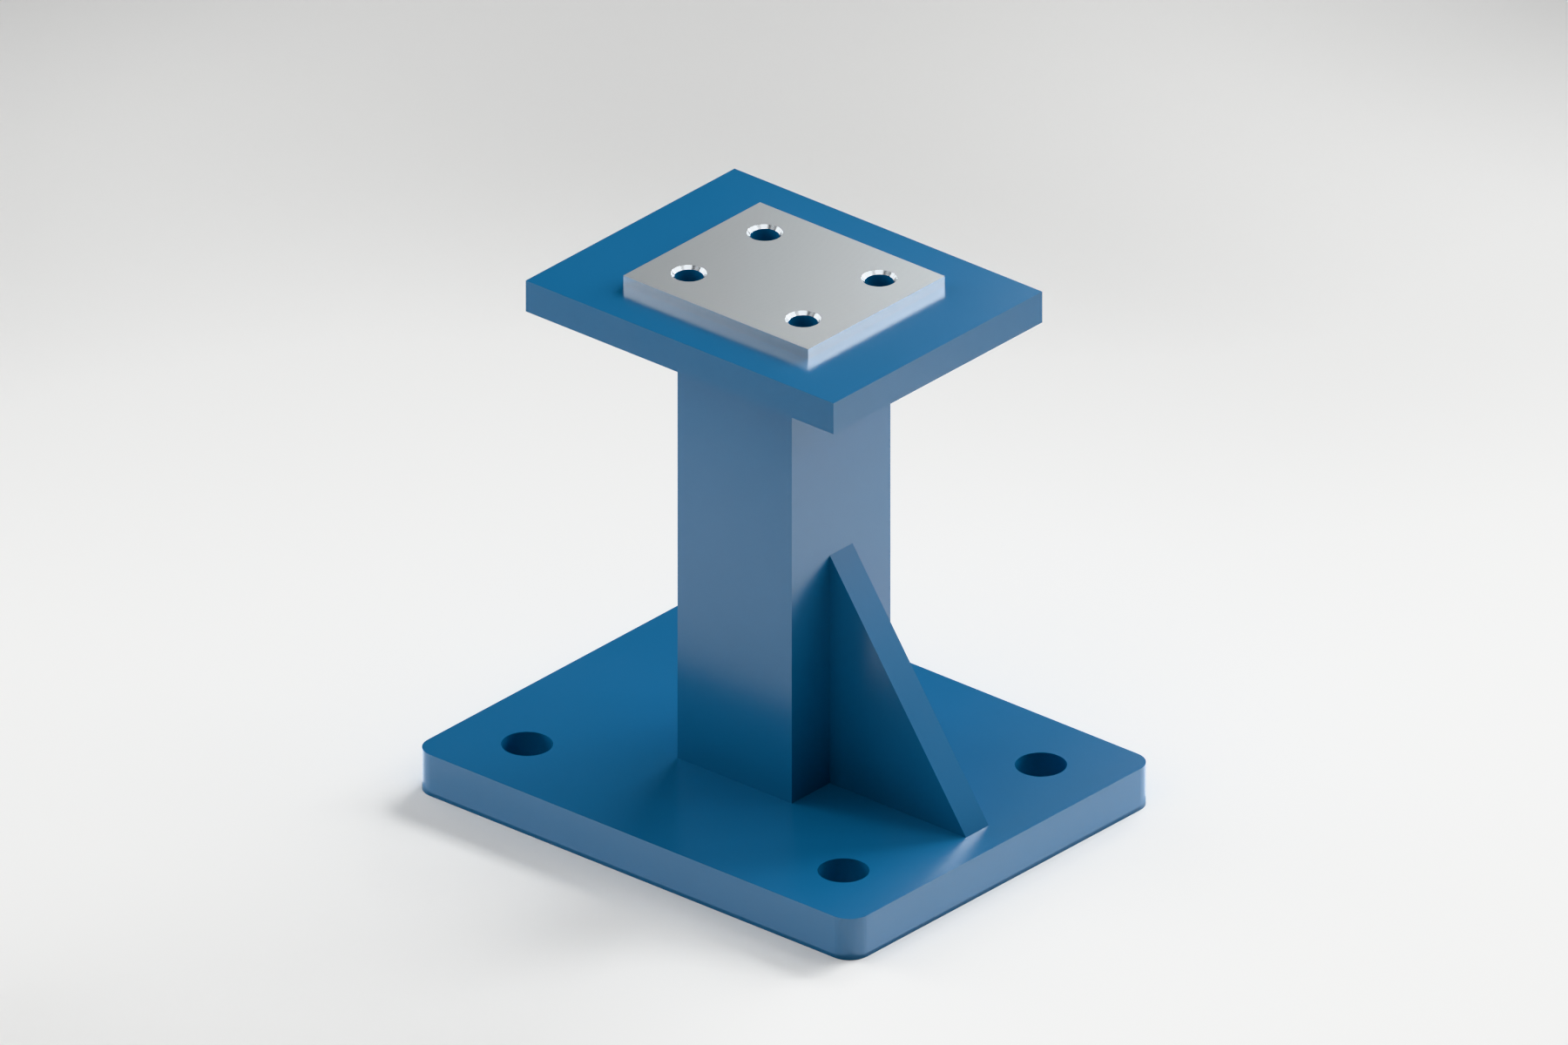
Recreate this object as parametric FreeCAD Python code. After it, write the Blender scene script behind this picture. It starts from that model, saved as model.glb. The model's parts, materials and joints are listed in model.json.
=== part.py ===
import FreeCAD, Part
import math
import os

# Welded steel support in millimetres. A square hollow column stands on a thick base plate, is
# stiffened on one side by a triangular gusset, and carries a top plate with a machined pad.
# The origin is the centre of the base plate's underside and +Z is up. +X runs along the base
# plate's long side, towards the gusset, and +Y along its short side.

# Base plate, held down by anchor bolts through four clearance holes
BASE_LENGTH = 500.0
BASE_WIDTH = 400.0
BASE_THICKNESS = 40.0
BASE_CORNER_RADIUS = 20.0
ANCHOR_HOLE_DIAMETER = 45.0
ANCHOR_EDGE_DISTANCE = 70.0

# Column, a square hollow section with square outer corners
COLUMN_SIDE = 130.0
COLUMN_HEIGHT = 425.0
COLUMN_WALL = 12.5
COLUMN_INNER_RADIUS = 5.0

# Gusset, a triangle between the column and the base plate, its slope measured from the base plate
GUSSET_THICKNESS = 30.0
GUSSET_SLOPE_DEGREES = 55.0
GUSSET_TOE_SETBACK = 30.0

# Top plate, centred on the column
TOP_LENGTH = 350.0
TOP_WIDTH = 275.0
TOP_THICKNESS = 30.0

# Mounting pad. Its blind holes run on into the top plate and end in a drill point, and the floor
# is the steel left between that point and the top plate's underside.
PAD_LENGTH = 210.0
PAD_WIDTH = 180.0
PAD_THICKNESS = 10.0
PAD_HOLE_DIAMETER = 25.0
PAD_HOLE_CHAMFER = 3.0
PAD_HOLE_EDGE_DISTANCE = 40.0
PAD_HOLE_FLOOR = 5.0
DRILL_POINT_DEGREES = 118.0

# Weld preparations, each a groove cut at 45 degrees. A root face is the width left square to bear
# on the neighbour, and the pad's land is the height of its side left above the groove.
COLUMN_ROOT_FACE = 2.5
GUSSET_ROOT_FACE = 10.0
PAD_LAND = 5.0

# Two levels nearer than this are the same level
SAME_LEVEL = 0.01

UP = FreeCAD.Vector(0, 0, 1)
DOWN = FreeCAD.Vector(0, 0, -1)

# Levels above the foundation
BASE_TOP = BASE_THICKNESS
COLUMN_TOP = BASE_TOP + COLUMN_HEIGHT
TOP_PLATE_TOP = COLUMN_TOP + TOP_THICKNESS
PAD_TOP = TOP_PLATE_TOP + PAD_THICKNESS

# The gusset fills the corner between the column's face and the base plate
COLUMN_FACE = COLUMN_SIDE / 2
GUSSET_FOOT = BASE_LENGTH / 2 - GUSSET_TOE_SETBACK - COLUMN_FACE
GUSSET_HEIGHT = GUSSET_FOOT * math.tan(math.radians(GUSSET_SLOPE_DEGREES))

# Depths of the weld grooves, from what their root faces and land leave
COLUMN_GROOVE = COLUMN_WALL - COLUMN_ROOT_FACE
GUSSET_GROOVE = (GUSSET_THICKNESS - GUSSET_ROOT_FACE) / 2
PAD_GROOVE = PAD_THICKNESS - PAD_LAND


def centred_block(length, width, low, high):
    """A rectangular block centred on the Z axis, between two levels."""
    corner = FreeCAD.Vector(-length / 2, -width / 2, low)
    return Part.makeBox(length, width, high - low, corner)


def upright_edges(block):
    """The four corner edges of a block, which run from its bottom to its top."""
    return [edge for edge in block.Edges if edge.BoundBox.ZLength > SAME_LEVEL]


def rim_edges(block, level):
    """The edges round one end of a block, at the level given."""
    flat = [edge for edge in block.Edges if edge.BoundBox.ZLength < SAME_LEVEL]
    return [edge for edge in flat if abs(edge.BoundBox.Center.z - level) < SAME_LEVEL]


def bevelled_block(length, width, low, high, groove, ends):
    """A centred block with a 45 degree weld groove round each of the ends given."""
    block = centred_block(length, width, low, high)
    rims = [edge for level in ends for edge in rim_edges(block, level)]
    return block.makeChamfer(groove, rims)


def groove_weld(length, width, low, high, groove, end):
    """The ring of weld metal that fills the groove round one end, dressed flush with the sides."""
    whole = centred_block(length, width, low, high)
    return whole.cut(bevelled_block(length, width, low, high, groove, [end]))


def corner_places(length, width, edge_distance):
    """The centres of four holes, each as far from one side of its corner as from the other."""
    x = length / 2 - edge_distance
    y = width / 2 - edge_distance
    return [(-x, -y), (x, -y), (-x, y), (x, y)]


def prism(points, run):
    """A closed outline carried along a vector."""
    return Part.Face(Part.makePolygon(points + points[:1])).extrude(run)


def base_plate():
    """A flat plate with rounded corners and a through hole near each corner."""
    plate = centred_block(BASE_LENGTH, BASE_WIDTH, 0, BASE_TOP)
    plate = plate.makeFillet(BASE_CORNER_RADIUS, upright_edges(plate))
    for x, y in corner_places(BASE_LENGTH, BASE_WIDTH, ANCHOR_EDGE_DISTANCE):
        centre = FreeCAD.Vector(x, y, 0)
        plate = plate.cut(Part.makeCylinder(ANCHOR_HOLE_DIAMETER / 2, BASE_TOP, centre, UP))
    return plate


def column():
    """A square tube whose walls are bevelled from outside at both ends, down to a root face."""
    ends = [BASE_TOP, COLUMN_TOP]
    block = bevelled_block(COLUMN_SIDE, COLUMN_SIDE, BASE_TOP, COLUMN_TOP, COLUMN_GROOVE, ends)
    bore_side = COLUMN_SIDE - 2 * COLUMN_WALL
    bore = centred_block(bore_side, bore_side, BASE_TOP, COLUMN_TOP)
    return block.cut(bore.makeFillet(COLUMN_INNER_RADIUS, upright_edges(bore)))


def column_weld(end):
    """The weld that closes the groove between one end of the column and its plate."""
    return groove_weld(COLUMN_SIDE, COLUMN_SIDE, BASE_TOP, COLUMN_TOP, COLUMN_GROOVE, end)


def gusset_triangle():
    """The gusset's whole triangle at full thickness, its welds included."""
    side = -GUSSET_THICKNESS / 2
    heel = FreeCAD.Vector(COLUMN_FACE, side, BASE_TOP)
    toe = FreeCAD.Vector(COLUMN_FACE + GUSSET_FOOT, side, BASE_TOP)
    apex = FreeCAD.Vector(COLUMN_FACE, side, BASE_TOP + GUSSET_HEIGHT)
    return prism([heel, toe, apex], FreeCAD.Vector(0, GUSSET_THICKNESS, 0))


def double_bevel(reach):
    """Points across an edge that widens from its root face to full thickness, then runs on.

    Each point is a place across the thickness and a distance in from the edge.
    """
    root = GUSSET_ROOT_FACE / 2
    full = GUSSET_THICKNESS / 2
    right = [(root, 0), (full, GUSSET_GROOVE), (full, reach)]
    left = [(-across, inward) for across, inward in reversed(right)]
    return right + left


def gusset():
    """The triangle with its foot and its back bevelled from both sides."""
    foot = [FreeCAD.Vector(COLUMN_FACE, y, BASE_TOP + z) for y, z in double_bevel(GUSSET_HEIGHT)]
    back = [FreeCAD.Vector(COLUMN_FACE + x, y, BASE_TOP) for y, x in double_bevel(GUSSET_FOOT)]
    along_foot = prism(foot, FreeCAD.Vector(GUSSET_FOOT, 0, 0))
    along_back = prism(back, FreeCAD.Vector(0, 0, GUSSET_HEIGHT))
    return gusset_triangle().common(along_foot).common(along_back)


def gusset_welds():
    """Weld metal on each side of the gusset, in one run along its foot and up its back."""
    return gusset_triangle().cut(gusset())


def drilled(plate):
    """A plate cut by the pad's four holes: a chamfered mouth, a straight bore and a drill point."""
    radius = PAD_HOLE_DIAMETER / 2
    point = radius / math.tan(math.radians(DRILL_POINT_DEGREES / 2))
    bore_end = COLUMN_TOP + PAD_HOLE_FLOOR + point
    for x, y in corner_places(PAD_LENGTH, PAD_WIDTH, PAD_HOLE_EDGE_DISTANCE):
        mouth = FreeCAD.Vector(x, y, PAD_TOP)
        bottom = FreeCAD.Vector(x, y, bore_end)
        chamfer = Part.makeCone(radius + PAD_HOLE_CHAMFER, radius, PAD_HOLE_CHAMFER, mouth, DOWN)
        bore = Part.makeCylinder(radius, PAD_TOP - bore_end, mouth, DOWN)
        plate = plate.cut(bore.fuse(chamfer).fuse(Part.makeCone(radius, 0, point, bottom, DOWN)))
    return plate


def top_plate():
    """A flat plate with square corners, drilled from above through the pad."""
    return drilled(centred_block(TOP_LENGTH, TOP_WIDTH, COLUMN_TOP, TOP_PLATE_TOP))


def mounting_pad():
    """A low block with a weld groove round its foot, drilled through."""
    ends = [TOP_PLATE_TOP]
    return drilled(bevelled_block(PAD_LENGTH, PAD_WIDTH, TOP_PLATE_TOP, PAD_TOP, PAD_GROOVE, ends))


def pad_weld():
    """The weld that closes the groove between the pad and the top plate."""
    return groove_weld(PAD_LENGTH, PAD_WIDTH, TOP_PLATE_TOP, PAD_TOP, PAD_GROOVE, TOP_PLATE_TOP)


NODES = {
    "base_plate": base_plate(),
    "column": column(),
    "column_foot_weld": column_weld(BASE_TOP),
    "column_head_weld": column_weld(COLUMN_TOP),
    "gusset": gusset(),
    "gusset_welds": gusset_welds(),
    "top_plate": top_plate(),
    "mounting_pad": mounting_pad(),
    "pad_weld": pad_weld(),
}

os.makedirs("parts", exist_ok=True)
for name, shape in NODES.items():
    # A single solid is written as itself, and the two gusset welds as one compound
    solids = shape.Solids
    piece = solids[0] if len(solids) == 1 else Part.makeCompound(solids)
    piece.exportStep("parts/" + name + ".step")
    print(name, len(solids), "solid(s), valid:", piece.isValid(), "volume:", round(piece.Volume, 1))
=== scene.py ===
import json
import math

import bpy
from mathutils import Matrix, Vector

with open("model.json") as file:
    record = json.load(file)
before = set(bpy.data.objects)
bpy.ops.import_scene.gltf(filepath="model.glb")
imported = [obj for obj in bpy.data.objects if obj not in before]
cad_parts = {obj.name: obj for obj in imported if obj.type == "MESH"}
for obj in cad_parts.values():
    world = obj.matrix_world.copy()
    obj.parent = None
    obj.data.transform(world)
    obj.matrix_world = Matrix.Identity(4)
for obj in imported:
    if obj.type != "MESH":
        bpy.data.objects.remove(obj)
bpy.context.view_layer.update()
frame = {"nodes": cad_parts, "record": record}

# Base plate. The real one is a 40 mm structural steel plate, flame cut with rounded corners and
# drilled for four anchor bolts. It carries the whole weldment and is sprayed with the rest of it
# in blue enamel, whose material is made here because this is the first piece to wear it.
ENAMEL_BLUE = "#296189"
ENAMEL_THIN = "#2C638B"
ENAMEL_ROUGHNESS = 0.25
ENAMEL_ROUGHNESS_DRIFT = 0.01
ENAMEL_IOR = 1.59
# A pattern's detail is how many finer waves it has, and its detail share is how strong they are
PEEL_WAVE_MM = 2.5
PEEL_DEPTH_MM = 0.003
PEEL_DETAIL = 1.0
PEEL_DETAIL_SHARE = 0.4
DRIFT_WAVE_MM = 90.0
DRIFT_DETAIL = 2.0
DRIFT_DETAIL_SHARE = 0.5
MM_PER_METRE = 1000


def linear(colour):
    """Turns an sRGB hex colour into the linear red, green, blue and alpha that shaders take."""
    shares = [int(colour[place:place + 2], 16) / 255 for place in (1, 3, 5)]
    curved = [s / 12.92 if s <= 0.04045 else ((s + 0.055) / 1.055) ** 2.4 for s in shares]
    return (*curved, 1.0)


def per_metre(wave_mm):
    """The scale of a noise or wave texture whose pattern repeats about every wave_mm."""
    return MM_PER_METRE / wave_mm


def add_node(tree, kind, inputs=None, **settings):
    """Adds a node. An input given as a socket is linked, and any other value is set."""
    node = tree.nodes.new(kind)
    for name, value in settings.items():
        setattr(node, name, value)
    for name, value in (inputs or {}).items():
        if isinstance(value, bpy.types.NodeSocket):
            tree.links.new(value, node.inputs[name])
        else:
            node.inputs[name].default_value = value
    return node


def new_material(name):
    """An empty node material and its tree."""
    material = bpy.data.materials.new(name)
    material.use_nodes = True
    material.node_tree.nodes.clear()
    return material, material.node_tree


def wear(material, *names):
    """Puts one material on CAD nodes, over all that each is made of."""
    for name in names:
        for slot in frame["nodes"][name].material_slots:
            slot.material = material


def sprayed_blue_enamel():
    """Alkyd enamel sprayed over primed steel. It is smooth and semi-gloss, and mirrors what is
    near it softly, with a faint orange peel and a film that is a little thicker here and there."""
    material, tree = new_material("sprayed blue enamel")
    place = add_node(tree, "ShaderNodeTexCoord").outputs["Object"]
    peel = add_node(tree, "ShaderNodeTexNoise", {
        "Vector": place, "Scale": per_metre(PEEL_WAVE_MM),
        "Detail": PEEL_DETAIL, "Roughness": PEEL_DETAIL_SHARE})
    drift = add_node(tree, "ShaderNodeTexNoise", {
        "Vector": place, "Scale": per_metre(DRIFT_WAVE_MM),
        "Detail": DRIFT_DETAIL, "Roughness": DRIFT_DETAIL_SHARE})
    film = add_node(tree, "ShaderNodeMix", {
        "Factor": drift.outputs["Fac"], "A": linear(ENAMEL_BLUE), "B": linear(ENAMEL_THIN)},
        data_type="RGBA")
    sheen = add_node(tree, "ShaderNodeMapRange", {
        "Value": drift.outputs["Fac"],
        "To Min": ENAMEL_ROUGHNESS - ENAMEL_ROUGHNESS_DRIFT,
        "To Max": ENAMEL_ROUGHNESS + ENAMEL_ROUGHNESS_DRIFT})
    waves = add_node(tree, "ShaderNodeBump", {
        "Height": peel.outputs["Fac"], "Distance": PEEL_DEPTH_MM / MM_PER_METRE})
    shader = add_node(tree, "ShaderNodeBsdfPrincipled", {
        "Base Color": film.outputs["Result"], "Roughness": sheen.outputs["Result"],
        "IOR": ENAMEL_IOR, "Normal": waves.outputs["Normal"]})
    add_node(tree, "ShaderNodeOutputMaterial", {"Surface": shader.outputs["BSDF"]})
    return material


enamel = sprayed_blue_enamel()
wear(enamel, "base_plate")

# Column. The real one is a 130 mm square hollow section of structural steel, sawn to length and
# bevelled at both ends, so that its groove welds to the plates can be ground flush before paint.
wear(enamel, "column", "column_foot_weld", "column_head_weld")

# Gusset. The real one is a triangle cut from 30 mm plate, bevelled from both sides along its foot
# and its back. Its double groove weld is dressed flush with its faces and painted over.
wear(enamel, "gusset", "gusset_welds")

# Top plate. The real one is a 30 mm steel plate with sawn square edges, welded on the column's
# head. Its blind holes are drilled through the pad, and the spray reaches down their walls.
wear(enamel, "top_plate")

# Mounting pad. The real one is a 10 mm steel plate, welded round its foot. After the support is
# painted its top is face milled and its sides are trimmed, and a countersink cuts the
# chamfers of its four holes, while the walls below them keep the enamel. The sides are coloured
# lighter than bare steel, as a painted highlight.
FACE_LIGHT = "#A6AAAC"
FACE_DARK = "#A5A9AB"
FACE_ROUGHNESS = 0.50
FACE_ROUGHNESS_DRIFT = 0.005
# The sides' colour, near white and lighter than bare steel: a painted highlight
SIDE_STEEL_PAINTED_HIGHLIGHT = "#F3F4F3"
SIDE_ROUGHNESS = 0.20
CHAMFER_STEEL = "#C3C8CC"
CHAMFER_ROUGHNESS = 0.24
ARC_SPACING_MM = 6.0
ARC_DEPTH_MM = 0.00012
ARC_CENTRE_MM = (-190.0, 0.0, 0.0)
ARC_WOBBLE = 0.6
ARC_WOBBLE_DETAIL = 1.0
ARC_WOBBLE_SCALE = 0.4
# A wave texture draws one ring in each tau / 20 of its own units
RING_UNITS = math.tau / 20
HOLE_CHAMFER_MM = 3.0
# How far a mask reaches past the edge that it follows
EDGE_MM = 0.05


def pad_hole_distance(tree, axes, pattern):
    """How far a point is from the axis of the nearest of the pad's four holes, in metres."""
    aside = []
    for axis, spacing in (("X", pattern["spacing_x_mm"]), ("Y", pattern["spacing_y_mm"])):
        size = add_node(tree, "ShaderNodeMath", {0: axes.outputs[axis]}, operation="ABSOLUTE")
        aside.append(add_node(tree, "ShaderNodeMath", {
            0: size.outputs[0], 1: spacing / 2 / MM_PER_METRE},
            operation="SUBTRACT").outputs[0])
    flat = add_node(tree, "ShaderNodeCombineXYZ", {"X": aside[0], "Y": aside[1]})
    return add_node(tree, "ShaderNodeVectorMath", {
        "Vector": flat.outputs["Vector"]}, operation="LENGTH").outputs["Value"]


def layered(tree, first, layers, **settings):
    """The first value, with each later one laid over it where its mask is 1."""
    result = first
    for mask, value in layers:
        result = add_node(tree, "ShaderNodeMix", {
            "Factor": mask, "A": result, "B": value}, **settings).outputs["Result"]
    return result


def milled_steel(pattern, top_mm):
    """Bare mild steel. The face mill leaves the top dull and light grey, with arcs that are drawn
    coarser than the real ones and kept so faint that they hardly show, as in the photograph. The
    sides mirror, and their colour is brighter than such steel's, a painted highlight to match the
    photograph. The chamfers are satin, and the walls of the holes are enamelled."""
    material, tree = new_material("milled mild steel")
    place = add_node(tree, "ShaderNodeTexCoord").outputs["Object"]
    around = add_node(tree, "ShaderNodeMapping", {
        "Vector": place, "Location": [-c / MM_PER_METRE for c in ARC_CENTRE_MM]})
    arcs = add_node(tree, "ShaderNodeTexWave", {
        "Vector": around.outputs["Vector"], "Scale": per_metre(ARC_SPACING_MM) * RING_UNITS,
        "Distortion": ARC_WOBBLE, "Detail": ARC_WOBBLE_DETAIL, "Detail Scale": ARC_WOBBLE_SCALE},
        wave_type="RINGS", rings_direction="Z", wave_profile="SIN")
    axes = add_node(tree, "ShaderNodeSeparateXYZ", {"Vector": place})
    distance = pad_hole_distance(tree, axes, pattern)
    masks = []
    for length, operation, limit_mm in (
            (distance, "LESS_THAN", pattern["hole_r_mm"] + HOLE_CHAMFER_MM),
            (distance, "LESS_THAN", pattern["hole_r_mm"] + EDGE_MM),
            (axes.outputs["Z"], "GREATER_THAN", top_mm - EDGE_MM)):
        masks.append(add_node(tree, "ShaderNodeMath", {
            0: length, 1: limit_mm / MM_PER_METRE}, operation=operation).outputs[0])
    chamfered, painted, faced = masks
    face = add_node(tree, "ShaderNodeMix", {
        "Factor": arcs.outputs["Fac"], "A": linear(FACE_DARK), "B": linear(FACE_LIGHT)},
        data_type="RGBA")
    dullness = add_node(tree, "ShaderNodeMapRange", {
        "Value": arcs.outputs["Fac"],
        "To Min": FACE_ROUGHNESS - FACE_ROUGHNESS_DRIFT,
        "To Max": FACE_ROUGHNESS + FACE_ROUGHNESS_DRIFT})
    colour = layered(tree, linear(SIDE_STEEL_PAINTED_HIGHLIGHT), (
        (chamfered, linear(CHAMFER_STEEL)), (faced, face.outputs["Result"]),
        (painted, linear(ENAMEL_BLUE))), data_type="RGBA")
    roughness = layered(tree, SIDE_ROUGHNESS, (
        (chamfered, CHAMFER_ROUGHNESS), (faced, dullness.outputs["Result"]),
        (painted, ENAMEL_ROUGHNESS)))
    bare = add_node(tree, "ShaderNodeMath", {0: 1.0, 1: painted}, operation="SUBTRACT")
    cusps = add_node(tree, "ShaderNodeBump", {
        "Height": arcs.outputs["Fac"], "Distance": ARC_DEPTH_MM / MM_PER_METRE})
    shader = add_node(tree, "ShaderNodeBsdfPrincipled", {
        "Base Color": colour, "Metallic": bare.outputs[0],
        "Roughness": roughness, "Normal": cusps.outputs["Normal"]})
    add_node(tree, "ShaderNodeOutputMaterial", {"Surface": shader.outputs["BSDF"]})
    return material


mounts = {mount["name"]: mount for mount in frame["record"]["mounts"]}
pad_top_mm = mounts["pad_face"]["pos_m"][2] * MM_PER_METRE
pad_steel = milled_steel(mounts["pad_bolts"]["dims"], pad_top_mm)
wear(pad_steel, "mounting_pad", "pad_weld")

# Camera. The photograph is drawn square on, with no perspective, from above the corner between
# the gusset's end and the front, and its middle falls on the column's axis. From here on, lengths
# are in metres and angles in degrees.
FRONT = -90.0
VIEW_AZIMUTH = 40.81
VIEW_ELEVATION = 27.594
VIEW_WIDTH = 1.35
VIEW_CENTRE = (0.0, 0.0, 0.2652)
VIEW_DISTANCE = 4.0


def direction(azimuth, elevation):
    """A unit vector towards a compass angle, anticlockwise from +X, and a height angle."""
    turn, rise = math.radians(azimuth), math.radians(elevation)
    flat = math.cos(rise)
    return Vector((math.cos(turn) * flat, math.sin(turn) * flat, math.sin(rise)))


def put(name, data, centre, towards, distance=0.0):
    """Stands a camera or a lamp at a distance from a point, looking back at it."""
    thing = bpy.data.objects.new(name, data)
    thing.location = Vector(centre) + towards * distance
    thing.rotation_euler = towards.to_track_quat("Z", "Y").to_euler()
    bpy.context.scene.collection.objects.link(thing)
    return thing


lens = bpy.data.cameras.new("camera")
lens.type = "ORTHO"
lens.ortho_scale = VIEW_WIDTH
towards_viewer = direction(FRONT + VIEW_AZIMUTH, VIEW_ELEVATION)
bpy.context.scene.camera = put("camera", lens, VIEW_CENTRE, towards_viewer, VIEW_DISTANCE)

# Studio. A plain pale matt floor runs out of the picture on all sides. Softboxes stand round the
# part and hang over it, and faint lamps lie by it in place of pale reflector cards. The view
# transform bends the highlights gently, which is nearest to the photograph.
FLOOR_GREY = "#E7E7E6"
FLOOR_ROUGHNESS = 0.9
FLOOR_SIZE = 16.0
SOFTBOX_BEAM = 120.0
# Each side of the studio: the way out to it from the part, its distance and the way along it
SIDES = {
    "back": ((0, 1, 0), 1.7, (1, 0, 0)),
    "left": ((-1, 0, 0), 1.7, (0, 1, 0)),
    "front": ((0, -1, 0), 1.5, (1, 0, 0)),
    "right": ((1, 0, 0), 1.6, (0, 1, 0)),
}
# The foot and the top of a softbox, at each height that they stand at
LOW = (0.10, 0.65)
MIDDLE = (0.65, 1.25)
HIGH = (1.25, 1.95)
TOP = (1.36, 1.95)
# Each softbox: its side, its two ends along that side, its height and its radiance
SOFTBOXES = {
    "back high left": ("back", -0.92, -0.62, HIGH, 14.6),
    "back high middle": ("back", -0.62, -0.32, HIGH, 15.2),
    "back high centre": ("back", -0.32, 0.33, HIGH, 11.6),
    "back high end": ("back", 0.99, 1.65, TOP, 9.4),
    "back middle right": ("back", 0.33, 0.99, MIDDLE, 12.8),
    "back low left": ("back", -0.99, -0.33, LOW, 2.6),
    "back low centre": ("back", -0.33, 0.33, LOW, 3.3),
    "back low right": ("back", 0.33, 0.99, LOW, 4.0),
    "left high end": ("left", -1.65, -0.99, HIGH, 8.0),
    "left high front": ("left", -0.99, -0.33, HIGH, 2.3),
    "left middle front": ("left", -0.99, -0.33, MIDDLE, 4.0),
    "left middle centre": ("left", -0.33, 0.33, MIDDLE, 1.0),
    "left low front": ("left", -0.99, -0.33, LOW, 6.2),
    "left low centre": ("left", -0.33, 0.33, LOW, 1.2),
    "left low back": ("left", 0.33, 0.99, LOW, 3.2),
    "left low far": ("left", 0.99, 1.65, LOW, 2.3),
    "front high end": ("front", -1.75, -1.25, HIGH, 5.6),
    "front high left": ("front", -1.25, -0.75, HIGH, 1.2),
    "front middle centre": ("front", -0.33, 0.33, MIDDLE, 1.9),
    "right high end": ("right", 0.99, 1.65, TOP, 8.4),
}
# Each softbox that hangs above, facing down: its middle, its size and its radiance
OVERHEADS = {
    "overhead back right": ((1.0, 1.0, 2.1), 1.0, 3.2),
    "overhead right": ((1.0, 0.0, 2.1), 0.8, 0.7),
    "overhead front": ((0.44, -0.51, 1.8), 0.8, 1.2),
    "overhead front left": ((-0.75, -1.10, 2.1), 0.8, 0.7),
}
# Each faint lamp on the floor, as a card: its ends along X, its ends along Y and its radiance
CARDS = {
    "front near card": (-0.25, 0.25, -0.36, -0.2005, 0.61),
    "front card": (-0.25, 0.25, -0.60, -0.36, 0.56),
    "front left card": (-0.70, -0.25, -0.60, -0.2005, 0.60),
    "front right card": (0.2505, 0.60, -0.50, -0.20, 0.62),
    "right card": (0.2505, 0.40, -0.20, 0.20, 0.92),
    "back right near card": (0.2505, 0.40, 0.20, 0.60, 1.00),
    "back right card": (0.40, 0.80, 0.20, 0.70, 0.96),
    "far right card": (0.70, 1.10, -0.20, 0.70, 0.50),
    "back card": (-0.25, 0.25, 0.2005, 0.50, 1.40),
    "left card": (-0.60, -0.2505, -0.2005, 0.50, 1.40),
}
CARD_LIFT = 0.003
CARD_BEAM = 180.0
# Each low lamp that hangs over the far floor, facing down: its ends along X and along Y
FLOOR_LAMPS = {
    "far back floor lamp": (-5.0, 5.0, 1.65, 5.0),
    "far front floor lamp": (-5.0, 5.0, -5.0, -1.65),
    "far left floor lamp": (-5.0, -1.65, -1.65, 1.65),
    "far right floor lamp": (1.65, 5.0, -1.65, 1.65),
}
FLOOR_LAMP_HEIGHT = 0.6
FLOOR_LAMP_BEAM = 60.0
FLOOR_LAMP_RADIANCE = 0.55


def lamp(name, width, height, beam, radiance, centre, backwards):
    """A rectangular lamp that lights but isn't seen itself, with its back to the way given. Its
    power is its radiance times its area times pi."""
    light = bpy.data.lights.new(name, "AREA")
    light.shape = "RECTANGLE"
    light.size = width
    light.size_y = height
    light.spread = math.radians(beam)
    light.energy = math.pi * width * height * radiance
    put(name, light, centre, Vector(backwards)).visible_camera = False


def softbox(name, side, start, end, reach, radiance):
    """A softbox that stands upright at one side of the studio and faces straight across it."""
    out, distance, sideways = SIDES[side]
    low, high = reach
    centre = Vector(out) * distance + Vector(sideways) * (start + end) / 2
    centre.z = (low + high) / 2
    lamp(name, end - start, high - low, SOFTBOX_BEAM, radiance, centre, out)


def level_lamp(name, left, right, front, back, height, beam, radiance, backwards):
    """A lamp that is level with a stretch of floor, and shines up or down."""
    centre = ((left + right) / 2, (front + back) / 2, height)
    lamp(name, right - left, back - front, beam, radiance, centre, backwards)


def pale_floor():
    """A studio floor of matt paint, which scatters light evenly. It is level with the base
    plate's underside."""
    material, tree = new_material("matt pale floor paint")
    shader = add_node(tree, "ShaderNodeBsdfPrincipled", {
        "Base Color": linear(FLOOR_GREY), "Roughness": FLOOR_ROUGHNESS})
    add_node(tree, "ShaderNodeOutputMaterial", {"Surface": shader.outputs["BSDF"]})
    mesh = bpy.data.meshes.new("floor")
    half = FLOOR_SIZE / 2
    corners = [(-half, -half, 0), (half, -half, 0), (half, half, 0), (-half, half, 0)]
    mesh.from_pydata(corners, [], [(0, 1, 2, 3)])
    mesh.materials.append(material)
    floor = bpy.data.objects.new("floor", mesh)
    bpy.context.scene.collection.objects.link(floor)
    return floor


UP = (0, 0, 1)
DOWN = (0, 0, -1)
for name, values in SOFTBOXES.items():
    softbox(name, *values)
for name, (centre, size, radiance) in OVERHEADS.items():
    lamp(name, size, size, SOFTBOX_BEAM, radiance, centre, UP)
for name, (*stretch, radiance) in CARDS.items():
    level_lamp(name, *stretch, CARD_LIFT, CARD_BEAM, radiance, DOWN)
for name, stretch in FLOOR_LAMPS.items():
    level_lamp(name, *stretch, FLOOR_LAMP_HEIGHT, FLOOR_LAMP_BEAM, FLOOR_LAMP_RADIANCE, UP)
pale_floor()
# The lamps alone light the part, with none from the surroundings
dark_room = bpy.data.worlds.new("studio")
dark_room.use_nodes = True
dark_room.node_tree.nodes["Background"].inputs["Strength"].default_value = 0.0
bpy.context.scene.world = dark_room
bpy.context.scene.view_settings.view_transform = "Khronos PBR Neutral"
